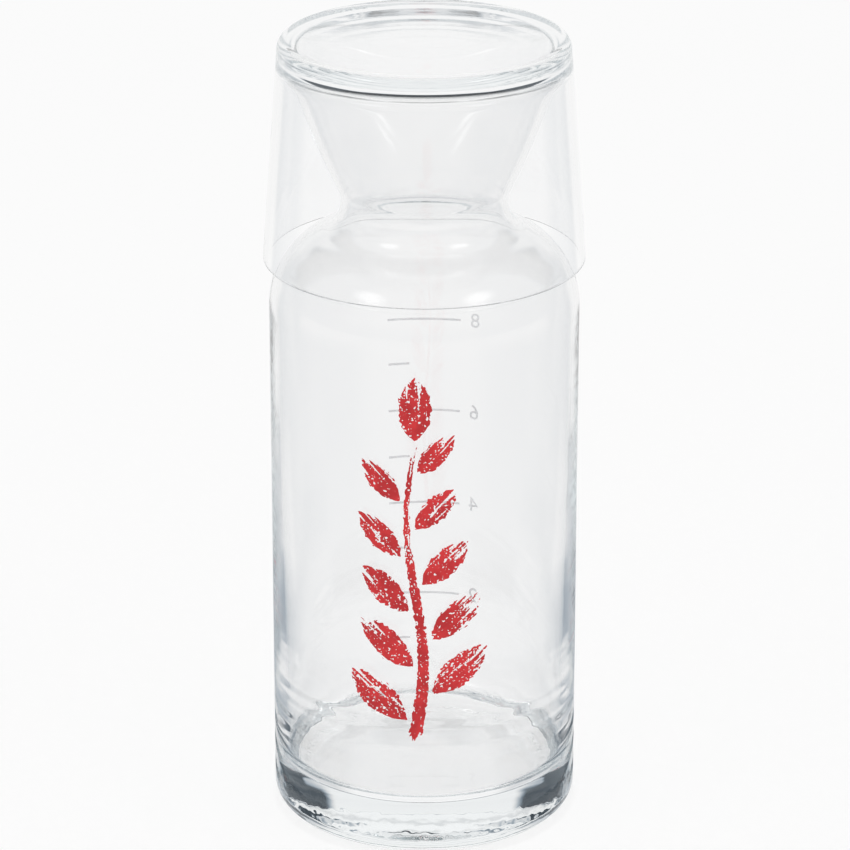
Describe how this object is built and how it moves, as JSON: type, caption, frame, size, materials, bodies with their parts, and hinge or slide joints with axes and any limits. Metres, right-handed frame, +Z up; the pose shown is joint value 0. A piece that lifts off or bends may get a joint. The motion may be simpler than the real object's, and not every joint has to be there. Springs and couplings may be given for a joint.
{
  "type": "bedside carafe with tumbler",
  "caption": "Clear glass carafe with a straight round body, domed shoulder and flared mouth, and a tapered tumbler that stands upside down over the neck as its lid.",
  "frame": {"origin": "centre of the carafe's foot, on the surface it stands on", "axes": "+Z up along the axis of both glasses; the red print faces -Y and the pale scale faces +Y"},
  "size_m": [0.0982, 0.0982, 0.2498],
  "materials": {
    "carafe_glass": "clear, fire-polished",
    "tumbler_glass": "clear, fire-polished",
    "red_enamel": "fired enamel, dry-brushed, satin",
    "pale_enamel": "fired enamel, satin"
  },
  "bodies": {
    "carafe": {"carafe": "carafe_glass", "front_print": "red_enamel", "scale_print": "pale_enamel"},
    "tumbler": {"tumbler": "tumbler_glass"}
  },
  "joints": [
    {"name": "tumbler_lift", "type": "slide", "parent": "carafe", "child": "tumbler", "axis": [0, 0, 1], "range_m": [0, 0.075]}
  ]
}
